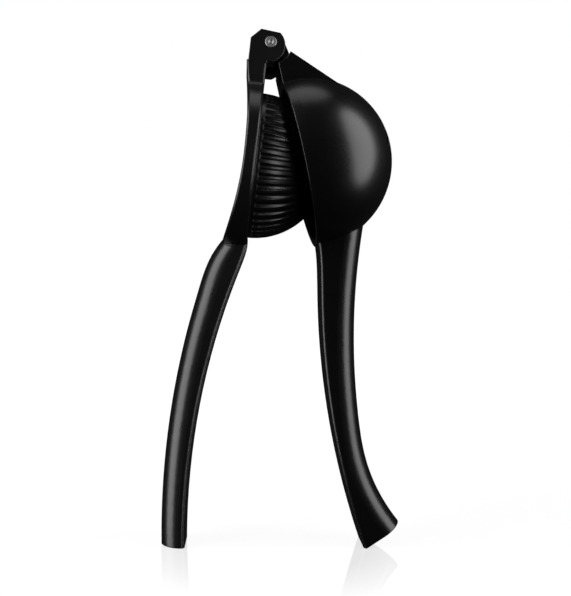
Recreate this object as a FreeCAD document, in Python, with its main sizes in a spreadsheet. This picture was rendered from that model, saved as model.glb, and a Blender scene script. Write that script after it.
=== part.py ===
import FreeCAD, Part
import Sketcher
import math
import os
import re

# A hinged lemon squeezer in cast aluminium, standing on the ends of its two handles with the
# hinge at the top, half open. It has three pieces: the arm with the bowl, the arm with the
# fluted plunger, and the steel pin that joins them.
# Frame: X to the right, Y away from the viewer, Z up, origin on the floor in the middle.
# Each arm is drawn in its own frame, with the pin's axis at the origin along Y and its mating
# face upright, and is then leaned over to the half open rest position. Millimetres and degrees.

doc = FreeCAD.newDocument("LemonSqueezer")
sizes = doc.addObject("Spreadsheet::Sheet", "Sizes")

# Drops are distances below the pin's axis along the mating face. "Front" is the side of an
# arm that faces the other arm, "back" is the side that the palm holds.
SIZES = [
    ("pin_height", 210.6, "height of the pin above the floor at rest"),
    ("bowl_lean", 12.4, "lean of the bowl arm at rest"),
    ("plunger_lean", 6.45, "lean of the plunger arm at rest"),
    ("hinge_width", 30.0, "across the two ears, and the neck's shoulders"),
    ("tongue_width", 12.0, "the bowl arm's tongue between the ears"),
    ("tongue_radius", 4.7, "round end of the tongue about the pin"),
    ("side_clearance", 0.35, "between the tongue and each ear"),
    ("swing_clearance", 0.6, "round the tongue's end and round the ears"),
    ("pin_diameter", 4.8, "the hinge pin"),
    ("pin_clearance", 0.05, "radial, between the pin and the tongue"),
    ("pin_proud", 0.25, "how far each end of the pin stands out of its ear"),
    ("pin_chamfer", 0.3, "edge of the pin's ends"),
    ("pin_dimple", 1.2, "radius of the punched dimple in each end"),
    ("pin_dimple_depth", 0.7, "depth of that dimple"),
    ("ear_top", 4.9, "top of the ears above the pin"),
    ("ear_top_fall", 0.8, "how much lower the top is at its front end"),
    ("ear_front", 3.5, "front end of the ears' top, from the pin"),
    ("ear_round", 7.3, "radius of the ears' round front"),
    ("ear_foot", 8.1, "drop of the ears' lower edge"),
    ("ear_foot_front", 1.9, "front end of that lower edge, from the pin"),
    ("ear_bevel", 4.0, "bevel of the ears' upper back corner"),
    ("link_back", 8.5, "back of the ears and of the link below them, from the pin"),
    ("mouth_offset", 1.2, "plane of the bowl's mouth, in front of the pin's axis"),
    ("plate_offset", 0.7, "plane of the plate's face, behind the pin's axis"),
    ("bowl_radius", 36.0, "outside of the bowl"),
    ("bowl_wall", 3.2, "thickness of the bowl"),
    ("bowl_gap", 14.3, "from the pin's axis down to the top of the bowl's ball"),
    ("bowl_sink", 4.1, "centre of the bowl's ball beyond the mouth"),
    ("lip_round", 0.7, "edges of the bowl's lip"),
    ("shoulder_radius", 9.0, "hollow of the neck's shoulders about the pin"),
    ("neck_back", 1.8, "where the neck's sloping back meets the pin's level"),
    ("neck_slope", 46.2, "slope of the neck's back"),
    ("drain_radius", 2.1, "each drain hole"),
    ("drain_inner_ring", 6.6, "radius of the inner ring of drain holes"),
    ("drain_outer_ring", 13.2, "radius of the outer ring of drain holes"),
    ("drain_count", 6, "holes in the inner ring, and half of those in the outer"),
    ("plate_inset", 0.6, "how much smaller the round plate is than the bowl, all round"),
    ("plate_lift", 0.3, "centre of the plate above the bowl's"),
    ("plate_waist", 5.72, "back of the plate where it is thinnest, from the pin"),
    ("plate_waist_lift", 1.3, "that thinnest place above the bowl's centre"),
    ("plate_upper_curve", 245.0, "radius of the plate's back above its waist"),
    ("plate_lower_curve", 115.0, "radius of the plate's back below its waist"),
    ("plate_round", 1.0, "edges of the plate's rim"),
    ("plate_blend", 7.0, "fillet between the link and the plate's rim"),
    ("plunger_gap", 2.0, "between the plunger's dome and the bowl when closed"),
    ("plunger_lift", 0.7, "centre of the dome above the bowl's"),
    ("plunger_wall", 4.2, "thickness of the dome, which is hollow behind"),
    ("flute_count", 48, "flutes round the dome"),
    ("flute_radius", 1.3, "hollow of each flute"),
    ("flute_rise", 0.1, "height of a flute's centre over the dome at the plate"),
    ("flute_end", 41.0, "angle from the dome's axis at which the flutes run out"),
    ("grip_width", 19.0, "across each handle"),
    ("grip_crown", 8.5, "depth of the handle's round back"),
    ("grip_edge", 1.6, "rounding of the handle's front edges"),
    ("bowl_grip_front", 9.0, "furthest reach of the bowl handle's front, behind the pin"),
    ("bowl_grip_front_drop", 177.0, "drop of that furthest place"),
    ("bowl_grip_front_curve", 349.0, "radius of the bowl handle's front"),
    ("bowl_grip_back", 2.1, "furthest reach of the back's long curve, in front of the pin"),
    ("bowl_grip_back_drop", 190.3, "drop of that furthest place"),
    ("bowl_grip_back_curve", 292.0, "radius of the bowl handle's back"),
    ("flare_length", 40.6, "length of the bowl handle's flared end"),
    ("flare_curve", 74.0, "radius of that flare"),
    ("flare_end_slope", 20.7, "slope of the flared end face in the arm's frame"),
    ("flare_end_rise", 2.4, "how much less that face's upper corner drops than the floor"),
    ("flare_end_reach", 10.4, "that corner in front of the pin"),
    ("plunger_grip_front", 14.0, "furthest reach of the plunger handle's front, behind the pin"),
    ("plunger_grip_front_drop", 179.5, "drop of that furthest place"),
    ("plunger_grip_front_curve", 316.0, "radius of the plunger handle's front"),
    ("plunger_grip_root", 5.4, "how far inside the plate's rim the handle starts"),
    ("plunger_grip_shoulder", 14.3, "back of the handle just below the plate, from the pin"),
    ("plunger_grip_shoulder_gap", 2.6, "how far below the plate's rim that place is"),
    ("grip_spare", 9.0, "length of both handles beyond the floor before they are cut"),
    ("plunger_grip_back", 25.3, "furthest reach of the plunger handle's back, behind the pin"),
    ("plunger_grip_back_drop", 171.2, "drop of that furthest place"),
    ("plunger_grip_back_curve", 348.3, "radius of the plunger handle's back"),
]
# Sizes that follow from others.
DERIVED = {
    "bowl_drop": "(bowl_gap + bowl_radius)",
    "plate_radius": "(bowl_radius - plate_inset)",
    "plate_drop": "(bowl_gap + bowl_radius - plate_lift)",
    "plate_waist_drop": "(bowl_gap + bowl_radius - plate_waist_lift)",
    "plunger_radius": "(bowl_radius - bowl_wall - plunger_gap)",
    "plunger_drop": "(bowl_gap + bowl_radius - plunger_lift)",
    "flare_drop": "(pin_height - flare_length)",
    "flare_end_drop": "(pin_height - flare_end_rise)",
    "grip_end": "(pin_height + grip_spare)",
}
ALIASES = []
for row, (alias, number, note) in enumerate(SIZES, 1):
    sizes.set(f"A{row}", alias)
    sizes.set(f"B{row}", str(number))
    sizes.set(f"C{row}", note)
    sizes.setAlias(f"B{row}", alias)
    ALIASES.append(alias)
doc.recompute()


def cells(formula):
    """Writes a formula of size names as an expression on the sheet."""
    for name, meaning in DERIVED.items():
        formula = re.sub(rf"\b{name}\b", meaning, formula)
    names = "|".join(sorted(ALIASES, key=len, reverse=True))
    return re.sub(rf"\b({names})\b", r"Sizes.\1", formula)


def value(formula):
    """What a formula of size names comes to."""
    return float(sizes.evalExpression(cells(formula)))


def bind(thing, prop, formula):
    """Ties one property of an object to a formula of size names."""
    thing.setExpression(prop, cells(formula))


def new_body(label):
    body = doc.addObject("PartDesign::Body", label)
    body.Label = label
    return body


def new_sketch(body, name, role, offset=("0", "0", "0")):
    """A sketch on one of the body's own origin planes, moved by the offset in that plane's axes."""
    sketch = body.newObject("Sketcher::SketchObject", name)
    plane = [item for item in body.Origin.OriginFeatures if item.Role == role][0]
    sketch.AttachmentSupport = [(plane, "")]
    sketch.MapMode = "FlatFace"
    for axis, formula in zip("xyz", offset):
        if formula != "0":
            bind(sketch, f".AttachmentOffset.Base.{axis}", formula)
    doc.recompute()
    return sketch


def pin_down(sketch, geometry, end, point, name):
    """Fixes one end of a piece of geometry at a point given by two formulas."""
    for way, formula in zip("XY", point):
        index = sketch.addConstraint(
            Sketcher.Constraint(f"Distance{way}", -1, 1, geometry, end, value(formula)))
        sketch.renameConstraint(index, f"{name}_{way.lower()}")
        bind(sketch, f"Constraints.{name}_{way.lower()}", formula)


def outline(sketch, corners, name="corner"):
    """Draws a closed outline. Each corner is (x, y) or (x, y, radius): with a radius, the side
    that leaves it is an arc, counterclockwise if the radius is positive, clockwise if negative.
    """
    spots = [FreeCAD.Vector(value(c[0]), value(c[1]), 0) for c in corners]
    count = len(corners)
    ends = []
    for i, corner in enumerate(corners):
        start, stop = spots[i], spots[(i + 1) % count]
        if len(corner) == 2:
            index = sketch.addGeometry(Part.LineSegment(start, stop))
            ends.append((index, 1, 2))
            continue
        radius = value(corner[2])
        if radius < 0:
            start, stop = stop, start
        chord = stop - start
        inward = FreeCAD.Vector(-chord.y, chord.x, 0).normalize()
        height = math.sqrt(radius ** 2 - (chord.Length / 2) ** 2)
        centre = (start + stop) * 0.5 + inward * height
        whole = Part.Circle(centre, FreeCAD.Vector(0, 0, 1), abs(radius))
        first = math.atan2(start.y - centre.y, start.x - centre.x)
        last = math.atan2(stop.y - centre.y, stop.x - centre.x)
        index = sketch.addGeometry(Part.ArcOfCircle(whole, first, last))
        ends.append((index, 1, 2) if radius > 0 else (index, 2, 1))
        rule = sketch.addConstraint(Sketcher.Constraint("Radius", index, abs(radius)))
        sketch.renameConstraint(rule, f"{name}_{i}_radius")
        bind(sketch, f"Constraints.{name}_{i}_radius", corner[2].lstrip("-"))
    for i in range(count):
        index, start, stop = ends[i]
        following = ends[(i + 1) % count]
        sketch.addConstraint(
            Sketcher.Constraint("Coincident", index, stop, following[0], following[1]))
        pin_down(sketch, index, start, corners[i][:2], f"{name}_{i}")
    doc.recompute()


def circle(sketch, x, y, radius, name="circle"):
    """Draws a full circle from three formulas."""
    centre = FreeCAD.Vector(value(x), value(y), 0)
    index = sketch.addGeometry(Part.Circle(centre, FreeCAD.Vector(0, 0, 1), value(radius)))
    pin_down(sketch, index, 3, (x, y), name)
    rule = sketch.addConstraint(Sketcher.Constraint("Radius", index, value(radius)))
    sketch.renameConstraint(rule, f"{name}_radius")
    bind(sketch, f"Constraints.{name}_radius", radius)
    doc.recompute()
    return index


def feature(body, kind, name, **settings):
    """Adds a feature to a body. A string setting is a formula, anything else is set as it is."""
    before = body.Shape.Volume if body.Tip else 0.0
    item = body.newObject(f"PartDesign::{kind}", name)
    for prop, setting in settings.items():
        if isinstance(setting, str) and prop not in ("SideType", "Type"):
            bind(item, prop, setting)
        else:
            setattr(item, prop, setting)
    if hasattr(item, "Profile") and item.Profile:
        item.Profile[0].Visibility = False
    doc.recompute()
    change = item.Shape.Volume - before
    removes = kind in ("Pocket", "Groove", "Hole")
    if removes and change > -0.01:
        raise RuntimeError(f"{name} removed nothing")
    if kind in ("Pad", "Revolution", "AdditiveLoft") and change < 0.01:
        raise RuntimeError(f"{name} added nothing")
    return item


def edges_of(item, wanted):
    """Names of the edges for which wanted(edge) is true."""
    names = [f"Edge{i}" for i, edge in enumerate(item.Shape.Edges, 1) if wanted(edge)]
    if not names:
        raise RuntimeError(f"no edges found on {item.Name}")
    return (item, names)


def middle(edge):
    """The point half way along an edge."""
    return edge.valueAt((edge.FirstParameter + edge.LastParameter) / 2)


def long_curve(depth, drop, radius, at, side):
    """Formula for a long curve's X at a drop: side is 1 where its centre is in front of it."""
    return f"{depth} + {side} * ({radius} - sqrt(pow({radius}; 2) - pow({drop} - ({at}); 2)))"


def grip_section(body, name, drop, front, back, side, crown_depth="grip_crown"):
    """One D-shaped section of a handle: a flat front with rounded edges and a round back.
    Side is 1 where the back is at the larger X.
    """
    sketch = new_sketch(body, name, "XY_Plane", ("0", "0", f"-({drop})"))
    half = "grip_width / 2"
    crown = f"({back}) - {side} * {crown_depth}"
    edge = f"({front}) + {side} * grip_edge"
    sign = "" if side == 1 else "-"
    round_back = f"{sign}((pow({crown_depth}; 2) + pow({half}; 2)) / (2 * {crown_depth}))"
    round_edge = f"{sign}(grip_edge)"
    outline(sketch, [
        (edge, f"-{half}"),
        (crown, f"-{half}", round_back),
        (crown, half),
        (edge, half, round_edge),
        (front, f"{half} - grip_edge"),
        (front, f"grip_edge - {half}", round_edge),
    ])
    return sketch


def grip_loft(body, name, sections):
    return feature(body, "AdditiveLoft", name, Profile=sections[0], Sections=sections[1:])


# The arm with the bowl. Its mouth faces -X, and the bowl bulges towards +X.

bowl_arm = new_body("bowl_arm")

BOWL_FRONT = ("-bowl_grip_front", "bowl_grip_front_drop", "bowl_grip_front_curve")
BOWL_BACK = ("bowl_grip_back", "bowl_grip_back_drop", "bowl_grip_back_curve")


def bowl_grip_back(drop):
    """The back's long curve, and the tangent curve of the flare below it."""
    depth, low, radius = BOWL_BACK
    if value(drop) <= value("flare_drop"):
        return long_curve(depth, low, radius, drop, 1)
    turn = f"(({low} - flare_drop) / {radius})"
    centre_x = f"({depth} + {radius} - ({radius} - flare_curve) * sqrt(1 - pow({turn}; 2)))"
    centre_drop = f"({low} - ({radius} - flare_curve) * {turn})"
    return f"{centre_x} - sqrt(pow(flare_curve; 2) - pow(({drop}) - {centre_drop}; 2))"


# The handle starts inside the ball and comes out of it flush with the mouth.
grip_top = "(bowl_drop + 0.7 * bowl_radius)"
grip_root = "(bowl_drop + 1.12 * bowl_radius)"
sections = [
    grip_section(bowl_arm, "bowl_grip_top", grip_top, "mouth_offset", bowl_grip_back(grip_top), 1),
    grip_section(bowl_arm, "bowl_grip_root", grip_root, "mouth_offset", bowl_grip_back(grip_root), 1),
]
steps = [f"{grip_root} + (flare_drop - {grip_root}) * {step} / 6" for step in range(1, 7)]
steps += [f"flare_drop + (grip_end - flare_drop) * {step} / 4" for step in range(1, 5)]
for number, drop in enumerate(steps, 1):
    front = long_curve(*BOWL_FRONT, drop, 1)
    back = bowl_grip_back(drop)
    sections.append(grip_section(bowl_arm, f"bowl_grip_{number}", drop, front, back, 1))
bowl_grip = grip_loft(bowl_arm, "bowl_grip", sections)

# The ball, cut off at the mouth.
ball_profile = new_sketch(bowl_arm, "ball_profile", "XZ_Plane", ("0", "-bowl_drop", "0"))
ball_x = "(mouth_offset + bowl_sink)"
lip_height = "sqrt(pow(bowl_radius; 2) - pow(bowl_sink; 2))"
outline(ball_profile, [
    ("mouth_offset", "0"),
    (f"{ball_x} + bowl_radius", "0", "bowl_radius"),
    (ball_x, "bowl_radius", "bowl_radius"),
    ("mouth_offset", lip_height),
])
ball = feature(bowl_arm, "Revolution", "ball", Profile=ball_profile,
               ReferenceAxis=(ball_profile, ["H_Axis"]), Angle=360)

# The neck, with its shoulders hollowed round the ears.
neck_side = new_sketch(bowl_arm, "neck_side", "XZ_Plane")
back_run = "(neck_back * sin(neck_slope))"
back_reach = f"sqrt(pow(shoulder_radius; 2) - pow({back_run}; 2))"
shoulder_x = f"({back_run} * sin(neck_slope) + {back_reach} * cos(neck_slope))"
shoulder_z = f"({back_run} * cos(neck_slope) - {back_reach} * sin(neck_slope))"
# The back ends where its line comes nearest to the ball's centre, inside the ball.
neck_run = f"(({ball_x} - neck_back) * cos(neck_slope) + bowl_drop * sin(neck_slope))"
outline(neck_side, [
    ("mouth_offset", "-sqrt(pow(shoulder_radius; 2) - pow(mouth_offset; 2))", "shoulder_radius"),
    (shoulder_x, shoulder_z),
    (f"neck_back + {neck_run} * cos(neck_slope)", f"-{neck_run} * sin(neck_slope)"),
    ("mouth_offset", f"-{neck_run} * sin(neck_slope)"),
])
neck = feature(bowl_arm, "Pad", "neck", Profile=neck_side, Length="hinge_width", Midplane=True)

# The tongue between the ears, round about the pin.
tongue_side = new_sketch(bowl_arm, "tongue_side", "XZ_Plane")
outline(tongue_side, [
    ("mouth_offset / 2", "-sqrt(pow(tongue_radius; 2) - pow(mouth_offset / 2; 2))"),
    ("mouth_offset / 2", "-shoulder_radius - tongue_radius"),
    ("shoulder_radius", "-shoulder_radius - tongue_radius"),
    ("tongue_radius * sin(neck_slope) + tongue_radius * cos(neck_slope)",
     "tongue_radius * cos(neck_slope) - tongue_radius * sin(neck_slope)"),
    ("tongue_radius * sin(neck_slope)", "tongue_radius * cos(neck_slope)", "tongue_radius"),
    ("-tongue_radius", "0", "tongue_radius"),
])
tongue = feature(bowl_arm, "Pad", "tongue", Profile=tongue_side, Length="tongue_width", Midplane=True)

# The hollow of the bowl, round the same centre as the outside.
hollow_profile = new_sketch(bowl_arm, "hollow_profile", "XZ_Plane", ("0", "-bowl_drop", "0"))
hollow_radius = "(bowl_radius - bowl_wall)"
outline(hollow_profile, [
    ("-mouth_offset", "0"),
    (f"{ball_x} + {hollow_radius}", "0", hollow_radius),
    (ball_x, hollow_radius, hollow_radius),
    ("mouth_offset", f"sqrt(pow({hollow_radius}; 2) - pow(bowl_sink; 2))"),
    ("-mouth_offset", f"sqrt(pow({hollow_radius}; 2) - pow(bowl_sink; 2))"),
])
hollow = feature(bowl_arm, "Groove", "hollow", Profile=hollow_profile,
                 ReferenceAxis=(hollow_profile, ["H_Axis"]), Angle=360)


def lip_inside(edge):
    spot = middle(edge)
    return abs(spot.x - value("mouth_offset")) < 0.01 and edge.Length > 3 * value("bowl_radius") \
        and math.hypot(spot.y, spot.z + value("bowl_drop")) < value(hollow_radius) + 0.1


lip = feature(bowl_arm, "Fillet", "lip", Base=edges_of(hollow, lip_inside), Radius="lip_round")

# Drain holes in two rings about the lowest place of the bowl, and one in the middle.
drain_start = f"{ball_x} + {hollow_radius} / 2"
middle_drain = new_sketch(bowl_arm, "middle_drain", "YZ_Plane", ("0", "-bowl_drop", drain_start))
circle(middle_drain, "0", "0", "drain_radius")
feature(bowl_arm, "Pocket", "drain_middle", Profile=middle_drain, Length="bowl_radius",
        Reversed=True)
for ring, holes in (("drain_inner_ring", "drain_count"), ("drain_outer_ring", "2 * drain_count")):
    sketch = new_sketch(bowl_arm, f"{ring}_sketch", "YZ_Plane", ("0", "-bowl_drop", drain_start))
    circle(sketch, "0", ring, "drain_radius")
    hole = feature(bowl_arm, "Pocket", f"{ring}_hole", Profile=sketch, Length="bowl_radius",
                   Reversed=True)
    pattern = bowl_arm.newObject("PartDesign::PolarPattern", f"{ring}_holes")
    pattern.Originals = [hole]
    pattern.Axis = (sketch, ["N_Axis"])
    pattern.Angle = 360
    bind(pattern, "Occurrences", holes)
    bowl_arm.Tip = pattern
    doc.recompute()

# The pin's bore through the tongue, and the cuts that end the handle.
bore = new_sketch(bowl_arm, "tongue_bore", "XZ_Plane")
circle(bore, "0", "0", "pin_diameter / 2 + pin_clearance")
feature(bowl_arm, "Pocket", "pin_bore", Profile=bore, Length="hinge_width", Midplane=True)

end_cut = new_sketch(bowl_arm, "bowl_grip_end", "XZ_Plane")
# The end face runs down to the floor, and the tip is flat where it stands on it.
tip_reach = ("((flare_end_drop + flare_end_reach * tan(flare_end_slope) - pin_height / cos(bowl_lean))"
             " / (tan(flare_end_slope) + tan(bowl_lean)))")
outline(end_cut, [
    ("-bowl_radius", "-(pin_height - bowl_radius * sin(bowl_lean)) / cos(bowl_lean)"),
    ("-bowl_radius", "-grip_end - bowl_radius"),
    ("bowl_radius", "-grip_end - bowl_radius"),
    ("bowl_radius", "-flare_end_drop + (bowl_radius - flare_end_reach) * tan(flare_end_slope)"),
    (tip_reach, f"-(pin_height + {tip_reach} * sin(bowl_lean)) / cos(bowl_lean)"),
])
feature(bowl_arm, "Pocket", "bowl_grip_cut", Profile=end_cut, Length="4 * grip_width", Midplane=True)

# The arm with the plunger: a round plate, the fluted dome on its front, the link and the two
# ears above it, and the handle below. Its mating face is towards +X.

plunger_arm = new_body("plunger_arm")

plate_top = "-ear_foot"
plate_bottom = "(plate_drop + plate_radius)"


def plate_back(drop):
    """Formula for the X of the plate's back below its waist."""
    return long_curve("-plate_waist", "plate_waist_drop", "plate_lower_curve", drop, -1)


plate_side = new_sketch(plunger_arm, "plate_side", "XZ_Plane")
outline(plate_side, [
    ("-plate_offset", plate_top),
    (long_curve("-plate_waist", "plate_waist_drop", "plate_upper_curve", "ear_foot", -1), plate_top,
     "-plate_upper_curve"),
    ("-plate_waist", "-plate_waist_drop", "-plate_lower_curve"),
    (plate_back(plate_bottom), f"-{plate_bottom}"),
    ("-plate_offset", f"-{plate_bottom}"),
])
feature(plunger_arm, "Pad", "plate_blank", Profile=plate_side, Length="2 * plate_radius + 2",
        Midplane=True)

# Seen from the front the plate is round, with the link running into it on fillets.
half_width = "(hinge_width / 2)"
blend_y = f"({half_width} + plate_blend)"
blend_rise = f"sqrt(pow(plate_radius + plate_blend; 2) - pow({blend_y}; 2))"
rim_share = "plate_radius / (plate_radius + plate_blend)"
rim_y = f"({blend_y} * {rim_share})"
rim_z = f"({blend_rise} * {rim_share} - plate_drop)"
link_end = f"({blend_rise} - plate_drop)"
plate_face = new_sketch(plunger_arm, "plate_face", "YZ_Plane")
outline(plate_face, [
    (f"-{half_width}", "0"),
    (f"-{half_width}", link_end, "-plate_blend"),
    (f"-{rim_y}", rim_z, "plate_radius"),
    ("0", f"-{plate_bottom}", "plate_radius"),
    (rim_y, rim_z, "-plate_blend"),
    (half_width, link_end),
    (half_width, "0"),
])
outline(plate_face, [
    ("-2 * plate_radius", "0.5 * ear_foot"),
    ("-2 * plate_radius", f"-{plate_bottom} - plate_radius"),
    ("2 * plate_radius", f"-{plate_bottom} - plate_radius"),
    ("2 * plate_radius", "0.5 * ear_foot"),
], "around")
plate = feature(plunger_arm, "Pocket", "plate", Profile=plate_face, Length="4 * plate_radius",
                Midplane=True)

# The rim's two edges are rounded.


def rim(edge):
    spot = middle(edge)
    return edge.Length > value("plate_radius") and abs(spot.y) > value(rim_y) * 0.9


feature(plunger_arm, "Fillet", "plate_edges", Base=edges_of(plate, rim), Radius="plate_round")

# The ears' block, which the tongue's slot later splits in two.
ear_side = new_sketch(plunger_arm, "ear_side", "XZ_Plane")
outline(ear_side, [
    ("-link_back", "-ear_foot - 1"),
    ("-plate_offset", "-ear_foot - 1"),
    ("-plate_offset", "-ear_foot"),
    ("ear_foot_front", "-ear_foot", "ear_round"),
    ("ear_front", "ear_top - ear_top_fall"),
    ("ear_bevel - link_back", "ear_top"),
    ("-link_back", "ear_top - ear_bevel"),
])
ears = feature(plunger_arm, "Pad", "ears", Profile=ear_side, Length="hinge_width", Midplane=True)

# The handle grows out of the lower edge of the plate.
PLUNGER_FRONT = ("-plunger_grip_front", "plunger_grip_front_drop", "plunger_grip_front_curve")
PLUNGER_BACK = ("-plunger_grip_back", "plunger_grip_back_drop", "plunger_grip_back_curve")
grip_root = f"({plate_bottom} - plunger_grip_root)"
grip_shoulder = f"({plate_bottom} + plunger_grip_shoulder_gap)"
sections = [
    grip_section(plunger_arm, "plunger_grip_top", grip_root, "-plate_offset",
                 f"({plate_back(grip_root)} + 0.3 * grip_edge)", -1, "(0.7 * grip_crown)"),
    grip_section(plunger_arm, "plunger_grip_neck", grip_shoulder, "-plate_offset",
                 "-plunger_grip_shoulder", -1),
]
grip_start = f"({grip_shoulder} + 0.8 * grip_crown)"
steps = [f"{grip_start} + (grip_end - {grip_start}) * {step} / 10" for step in range(11)]
for number, drop in enumerate(steps, 1):
    front = long_curve(*PLUNGER_FRONT, drop, 1)
    back = long_curve(*PLUNGER_BACK, drop, 1)
    sections.append(grip_section(plunger_arm, f"plunger_grip_{number}", drop, front, back, -1))
plunger_grip = grip_loft(plunger_arm, "plunger_grip", sections)

# The dome.
dome_profile = new_sketch(plunger_arm, "dome_profile", "XZ_Plane", ("0", "-plunger_drop", "0"))
outline(dome_profile, [
    ("-plate_offset - 1", "0"),
    ("plunger_radius - plate_offset", "0", "plunger_radius"),
    ("-plate_offset", "plunger_radius"),
    ("-plate_offset - 1", "plunger_radius"),
])
feature(plunger_arm, "Revolution", "dome", Profile=dome_profile,
        ReferenceAxis=(dome_profile, ["H_Axis"]), Angle=360)

# Each flute is cut by a round cutter on a circle that stands off the dome's own, so that the
# flute is deepest near the plate and runs out before the crown.
flute_shift = "((flute_radius - flute_rise) / cos(flute_end))"
flute_profile = new_sketch(plunger_arm, "flute_profile", "YZ_Plane",
                           ("0", "-plunger_drop", f"{flute_shift} - plate_offset"))
circle(flute_profile, "0", "plunger_radius + flute_rise", "flute_radius")
flute = feature(plunger_arm, "Groove", "flute", Profile=flute_profile,
                ReferenceAxis=(flute_profile, ["H_Axis"]), Angle="90 - flute_end")
flutes = plunger_arm.newObject("PartDesign::PolarPattern", "flutes")
flutes.Originals = [flute]
flutes.Axis = (dome_profile, ["H_Axis"])
flutes.Angle = 360
bind(flutes, "Occurrences", "flute_count")
plunger_arm.Tip = flutes
doc.recompute()

# The dome is hollow behind, and the hollow opens through the plate.
dish_profile = new_sketch(plunger_arm, "dish_profile", "XZ_Plane", ("0", "-plunger_drop", "0"))
dish_radius = "(plunger_radius - plunger_wall)"
outline(dish_profile, [
    ("-3 * plate_waist", "0"),
    (f"{dish_radius} - plate_offset", "0", dish_radius),
    ("-plate_offset", dish_radius),
    ("-3 * plate_waist", dish_radius),
])
feature(plunger_arm, "Groove", "dish", Profile=dish_profile,
        ReferenceAxis=(dish_profile, ["H_Axis"]), Angle=360)

# The slot for the tongue, open at the top and the front, with a web left behind it.
slot_radius = "(tongue_radius + swing_clearance)"
slot_side = new_sketch(plunger_arm, "slot_side", "XZ_Plane")
outline(slot_side, [
    (f"-{slot_radius}", "0", slot_radius),
    ("-plate_offset", f"-sqrt(pow({slot_radius}; 2) - pow(plate_offset; 2))"),
    ("-plate_offset", "-2 * ear_foot"),
    ("3 * ear_round", "-2 * ear_foot"),
    ("3 * ear_round", "2 * ear_top"),
    (f"-{slot_radius}", "2 * ear_top"),
])
feature(plunger_arm, "Pocket", "slot", Profile=slot_side,
        Length="tongue_width + 2 * side_clearance", Midplane=True)

ear_bore = new_sketch(plunger_arm, "ear_bore", "XZ_Plane")
circle(ear_bore, "0", "0", "pin_diameter / 2")
feature(plunger_arm, "Pocket", "pin_bore_ears", Profile=ear_bore, Length="2 * hinge_width",
        Midplane=True)

# The handle ends flat on the floor.
floor_cut = new_sketch(plunger_arm, "plunger_grip_end", "XZ_Plane")
outline(floor_cut, [
    ("-bowl_radius", "-(pin_height + bowl_radius * sin(plunger_lean)) / cos(plunger_lean)"),
    ("-bowl_radius", "-grip_end - bowl_radius"),
    ("bowl_radius", "-grip_end - bowl_radius"),
    ("bowl_radius", "-(pin_height - bowl_radius * sin(plunger_lean)) / cos(plunger_lean)"),
])
feature(plunger_arm, "Pocket", "plunger_grip_cut", Profile=floor_cut, Length="4 * grip_width",
        Midplane=True)

# The hinge pin, with a punched dimple in each end.

hinge_pin = new_body("hinge_pin")
pin_profile = new_sketch(hinge_pin, "pin_profile", "XY_Plane")
half_pin = "(hinge_width / 2 + pin_proud)"
pin_radius = "pin_diameter / 2"
outline(pin_profile, [
    ("0", f"pin_dimple_depth - {half_pin}"),
    ("pin_dimple", f"-{half_pin}"),
    (f"{pin_radius} - pin_chamfer", f"-{half_pin}"),
    (pin_radius, f"pin_chamfer - {half_pin}"),
    (pin_radius, f"{half_pin} - pin_chamfer"),
    (f"{pin_radius} - pin_chamfer", half_pin),
    ("pin_dimple", half_pin),
    ("0", f"{half_pin} - pin_dimple_depth"),
])
feature(hinge_pin, "Revolution", "pin", Profile=pin_profile,
        ReferenceAxis=(pin_profile, ["V_Axis"]), Angle=360)

# Each arm leans away from the pin, and the whole stands on the floor, centred over the origin.
LEANS = ((bowl_arm, "-bowl_lean"), (plunger_arm, "plunger_lean"), (hinge_pin, "plunger_lean"))
for body, lean in LEANS:
    turn = FreeCAD.Rotation(FreeCAD.Vector(0, 1, 0), value(lean))
    body.Placement = FreeCAD.Placement(FreeCAD.Vector(0, 0, value("pin_height")), turn)
doc.recompute()
span = Part.makeCompound([body.Shape for body, lean in LEANS]).optimalBoundingBox(False, False)
for body, lean in LEANS:
    body.Placement.Base.x = -(span.XMin + span.XMax) / 2
doc.recompute()

for item in doc.Objects:
    if "Invalid" in item.State or "Error" in item.State:
        raise RuntimeError(f"{item.Name} did not compute")
os.makedirs("parts", exist_ok=True)
for body, lean in LEANS:
    shape = body.Shape
    if shape.isNull() or not shape.isValid() or len(shape.Solids) != 1:
        raise RuntimeError(f"{body.Label} is not one sound solid")
    shape.exportStep(f"parts/{body.Label}.step")
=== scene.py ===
import math

import bpy
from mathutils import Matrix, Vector


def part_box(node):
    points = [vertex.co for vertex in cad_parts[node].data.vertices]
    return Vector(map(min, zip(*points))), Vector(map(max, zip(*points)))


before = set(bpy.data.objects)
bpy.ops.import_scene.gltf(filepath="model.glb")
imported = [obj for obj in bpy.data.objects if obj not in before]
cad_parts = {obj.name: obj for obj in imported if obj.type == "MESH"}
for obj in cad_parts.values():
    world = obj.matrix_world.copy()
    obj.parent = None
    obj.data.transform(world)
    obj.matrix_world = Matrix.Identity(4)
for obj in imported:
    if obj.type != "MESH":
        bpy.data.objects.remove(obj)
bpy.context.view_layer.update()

MM = 0.001
WHITE = (1.0, 1.0, 1.0, 1.0)

# The pin's axis, which the camera is placed from, read from the frame.
pin_low, pin_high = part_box("hinge_pin")
PIN_X = (pin_low[0] + pin_high[0]) / 2
PIN_Z = (pin_low[2] + pin_high[2]) / 2


def linear(hex_colour):
    """The linear colour of an sRGB hex colour."""
    channels = [int(hex_colour[i:i + 2], 16) / 255 for i in (1, 3, 5)]
    light = [c / 12.92 if c <= 0.04045 else ((c + 0.055) / 1.055) ** 2.4 for c in channels]
    return light + [1.0]


def put(tree, node, settings, links):
    """Sets a node's input sockets and properties, and links other nodes' outputs to it. An input
    is given by its name, or by its number where several share a name.
    """
    for name, setting in settings.items():
        if isinstance(name, int) or name in node.inputs:
            node.inputs[name].default_value = setting
        else:
            setattr(node, name, setting)
    for name, output in links.items():
        tree.links.new(output, node.inputs[name])


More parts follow.
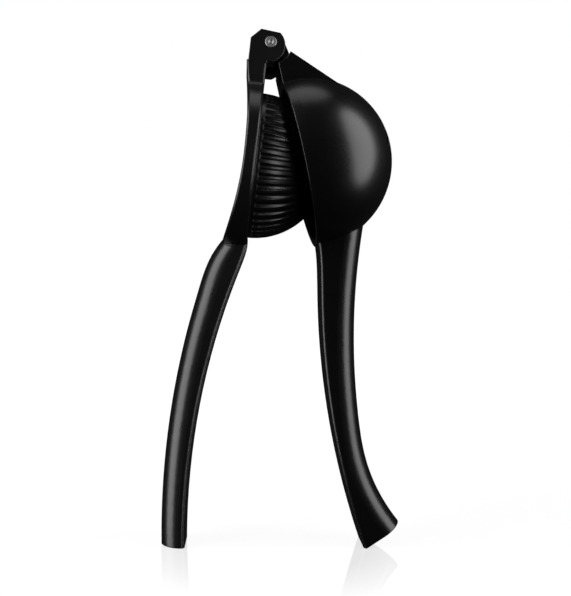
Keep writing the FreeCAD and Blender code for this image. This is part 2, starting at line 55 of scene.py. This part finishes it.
def add(tree, kind, settings=None, links=None):
    """Adds a node with its settings and links."""
    node = tree.nodes.new(kind)
    put(tree, node, settings or {}, links or {})
    return node


def new_material(name):
    """An empty material, its node tree and its shader."""
    material = bpy.data.materials.new(name)
    material.use_nodes = True
    tree = material.node_tree
    shader = tree.nodes["Principled BSDF"]
    return material, tree, shader


def object_place(tree):
    """The surface's place in its own object's frame, in metres."""
    return add(tree, "ShaderNodeTexCoord").outputs["Object"]


# Black powder coat: fine orange peel from the baked powder, and slightly uneven gloss.
COAT_COLOUR = "#0b0b0c"
COAT_ROUGHNESS = (0.25, 0.31)
COAT_IOR = 1.5
POWDER_GRAIN = 0.35 * MM
POWDER_PATCH = 9 * MM
GRAIN_HEIGHT = 0.012 * MM
EDGE_ROUNDING = 0.6 * MM


def powder_coat():
    material, tree, shader = new_material("satin_black_powder_coat")
    place = object_place(tree)
    grain = add(tree, "ShaderNodeTexNoise", {"Scale": 1 / POWDER_GRAIN, "Detail": 3.0,
                                             "Roughness": 0.6}, {"Vector": place})
    patches = add(tree, "ShaderNodeTexNoise", {"Scale": 1 / POWDER_PATCH, "Detail": 4.0},
                  {"Vector": place})
    gloss = add(tree, "ShaderNodeMapRange",
                {"To Min": COAT_ROUGHNESS[0], "To Max": COAT_ROUGHNESS[1]},
                {"Value": patches.outputs["Fac"]})
    # The coat lies rounded over every cast edge.
    rounding = add(tree, "ShaderNodeBevel", {"samples": 6, "Radius": EDGE_ROUNDING})
    peel = add(tree, "ShaderNodeBump", {"Strength": 0.6, "Distance": GRAIN_HEIGHT},
               {"Height": grain.outputs["Fac"], "Normal": rounding.outputs["Normal"]})
    put(tree, shader, {"Base Color": linear(COAT_COLOUR), "IOR": COAT_IOR},
        {"Roughness": gloss.outputs["Result"], "Normal": peel.outputs["Normal"]})
    return material


# Bare steel for the pin, unevenly dulled by fine scratches.
STEEL_COLOUR = "#8d8d8f"
STEEL_ROUGHNESS = (0.42, 0.56)
SCRATCH = 0.15 * MM


def bare_steel():
    material, tree, shader = new_material("bare_steel")
    place = object_place(tree)
    scratches = add(tree, "ShaderNodeTexNoise", {"Scale": 1 / SCRATCH, "Detail": 2.0},
                    {"Vector": place})
    gloss = add(tree, "ShaderNodeMapRange",
                {"To Min": STEEL_ROUGHNESS[0], "To Max": STEEL_ROUGHNESS[1]},
                {"Value": scratches.outputs["Fac"]})
    put(tree, shader, {"Base Color": linear(STEEL_COLOUR), "Metallic": 1.0},
        {"Roughness": gloss.outputs["Result"]})
    return material


COAT = powder_coat()
STEEL = bare_steel()
for name, material in (("bowl_arm", COAT), ("plunger_arm", COAT), ("hinge_pin", STEEL)):
    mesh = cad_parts[name].data
    mesh.materials.clear()
    mesh.materials.append(material)


# The photo's frame in pixels, the real size of a pixel in the plane of the arms, and where
# the camera's axis and the pin stand in the frame.
PHOTO_WIDTH = 571
PHOTO_HEIGHT = 596
PIXEL = 0.43 * MM
AXIS_AT = (242.5, 287.0)
PIN_AT = (269.8, 52.0)
# The camera's distance from the arms, in the photo's pixels.
CAMERA_PIXELS = 830.0
SENSOR_WIDTH = 36.0


def add_camera():
    camera = bpy.data.cameras.new("camera")
    camera.sensor_fit = "HORIZONTAL"
    camera.sensor_width = SENSOR_WIDTH
    camera.lens = SENSOR_WIDTH * CAMERA_PIXELS / PHOTO_WIDTH
    camera.shift_x = (PHOTO_WIDTH / 2 - AXIS_AT[0]) / PHOTO_WIDTH
    camera.shift_y = (AXIS_AT[1] - PHOTO_HEIGHT / 2) / PHOTO_WIDTH
    holder = bpy.data.objects.new("camera", camera)
    holder.location = (PIN_X + (AXIS_AT[0] - PIN_AT[0]) * PIXEL, -CAMERA_PIXELS * PIXEL,
                       PIN_Z + (PIN_AT[1] - AXIS_AT[1]) * PIXEL)
    holder.rotation_euler = (math.radians(90), 0, 0)
    bpy.context.collection.objects.link(holder)
    bpy.context.scene.camera = holder


def add_light(name, place, aim, size, power, shape="ELLIPSE"):
    """A soft box at a place, turned to the point that it lights."""
    light = bpy.data.lights.new(name, "AREA")
    light.shape = shape
    light.size, light.size_y = size
    light.energy = power
    holder = bpy.data.objects.new(name, light)
    holder.location = place
    holder.rotation_euler = (Vector(aim) - Vector(place)).to_track_quat("-Z", "Y").to_euler()
    bpy.context.collection.objects.link(holder)
    return holder


# The floor glows white. Round the object a small share of it is lit paint, which takes the
# shadow, and further out it is all the background's white.
FLOOR_REACH = 6.0
FLOOR_COLOUR = "#f4f4f4"
FADE_FROM = 0.16
FADE_TO = 0.34
GLOW_SHARE = 0.87
GLOW_STRENGTH = 1.07

# Close to the feet the floor is polished a little, and mirrors them faintly.
MIRROR_SHARE = 0.21
MIRROR_FROM = 0.04
MIRROR_TO = 0.072


def pale_floor():
    """White paint with a glow, which near the feet is polished."""
    material, tree, shader = new_material("pale_floor")
    put(tree, shader, {"Base Color": linear(FLOOR_COLOUR), "Roughness": 0.6,
                       "Specular IOR Level": 0.1}, {})
    distance = add(tree, "ShaderNodeVectorMath", {"operation": "LENGTH"}, {0: object_place(tree)})
    fade = add(tree, "ShaderNodeMapRange", {"From Min": FADE_FROM, "From Max": FADE_TO,
                                            "To Min": GLOW_SHARE,
                                            "interpolation_type": "SMOOTHSTEP"},
               {"Value": distance.outputs["Value"]})
    path = add(tree, "ShaderNodeLightPath")
    share = add(tree, "ShaderNodeMath", {"operation": "MULTIPLY"},
                {0: fade.outputs["Result"], 1: path.outputs["Is Camera Ray"]})
    glow = add(tree, "ShaderNodeEmission", {"Color": WHITE, "Strength": GLOW_STRENGTH})
    glowing = add(tree, "ShaderNodeMixShader", None,
                  {0: share.outputs["Value"], 1: shader.outputs["BSDF"],
                   2: glow.outputs["Emission"]})
    polish = add(tree, "ShaderNodeMapRange", {"From Min": MIRROR_FROM, "From Max": MIRROR_TO,
                                              "To Min": MIRROR_SHARE, "To Max": 0.0},
                 {"Value": distance.outputs["Value"]})
    mirror = add(tree, "ShaderNodeBsdfGlossy", {"Color": WHITE, "Roughness": 0.0})
    polished = add(tree, "ShaderNodeMixShader", None,
                   {0: polish.outputs["Result"], 1: glowing.outputs["Shader"],
                    2: mirror.outputs["BSDF"]})
    put(tree, tree.nodes["Material Output"], {}, {"Surface": polished.outputs["Shader"]})
    return material


def add_floor():
    mesh = bpy.data.meshes.new("floor")
    corners = [(x * FLOOR_REACH, y * FLOOR_REACH, 0)
               for x, y in ((-1, -1), (1, -1), (1, 1), (-1, 1))]
    mesh.from_pydata(corners, [], [(0, 1, 2, 3)])
    floor = bpy.data.objects.new("floor", mesh)
    bpy.context.collection.objects.link(floor)
    mesh.materials.append(pale_floor())
    # The floor takes the object's shadow, but throws no light back on its black coat.
    floor.visible_diffuse = False
    floor.visible_glossy = False
    floor.visible_shadow = False


# The dim grey that the studio round the object throws on it, and the numbers of the colour
# sockets on a mix node, which shares their names with its other kinds.
DIM = (0.012, 0.012, 0.012, 1.0)
COLOUR_A, COLOUR_B, COLOUR_OUT = 6, 7, 2


def light_world():
    """White where the camera or the floor's mirror sees it, and a dim grey as light."""
    world = bpy.data.worlds.new("studio")
    bpy.context.scene.world = world
    world.use_nodes = True
    tree = world.node_tree
    path = add(tree, "ShaderNodeLightPath")
    seen = add(tree, "ShaderNodeMath", {"operation": "MAXIMUM"},
               {0: path.outputs["Is Camera Ray"], 1: path.outputs["Is Transmission Ray"]})
    mirrored = add(tree, "ShaderNodeMath", {"operation": "MAXIMUM"},
                   {0: seen.outputs["Value"], 1: path.outputs["Is Singular Ray"]})
    shade = add(tree, "ShaderNodeMix", {"data_type": "RGBA"},
                {"Factor": mirrored.outputs["Value"]})
    put(tree, shade, {COLOUR_A: DIM, COLOUR_B: WHITE}, {})
    put(tree, tree.nodes["Background"], {}, {"Color": shade.outputs[COLOUR_OUT]})


def light_studio():
    """A tall box on each side, a weak one above, and a strip in front."""
    add_light("box_left", (-0.76, -0.24, 0.35), (0, 0, 0.12), (0.62, 1.5), 12.0, "RECTANGLE")
    add_light("box_right", (0.77, -0.2, 0.38), (0, 0, 0.14), (0.6, 1.35), 7.2)
    add_light("box_top", (0.0, 0.05, 0.9), (0, 0, 0.1), (0.5, 0.4), 0.5)
    # The strip shows the flutes and the pin, and falls on no other piece.
    strip = add_light("strip_front", (0.36, -0.62, 0.16), (0, 0, 0.16), (0.16, 0.8), 1.6)
    lit = bpy.data.collections.new("strip_lit")
    for name in ("plunger_arm", "hinge_pin"):
        lit.objects.link(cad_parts[name])
    strip.light_linking.receiver_collection = lit


add_camera()
light_studio()
add_floor()
light_world()
bpy.context.scene.view_settings.view_transform = "Standard"
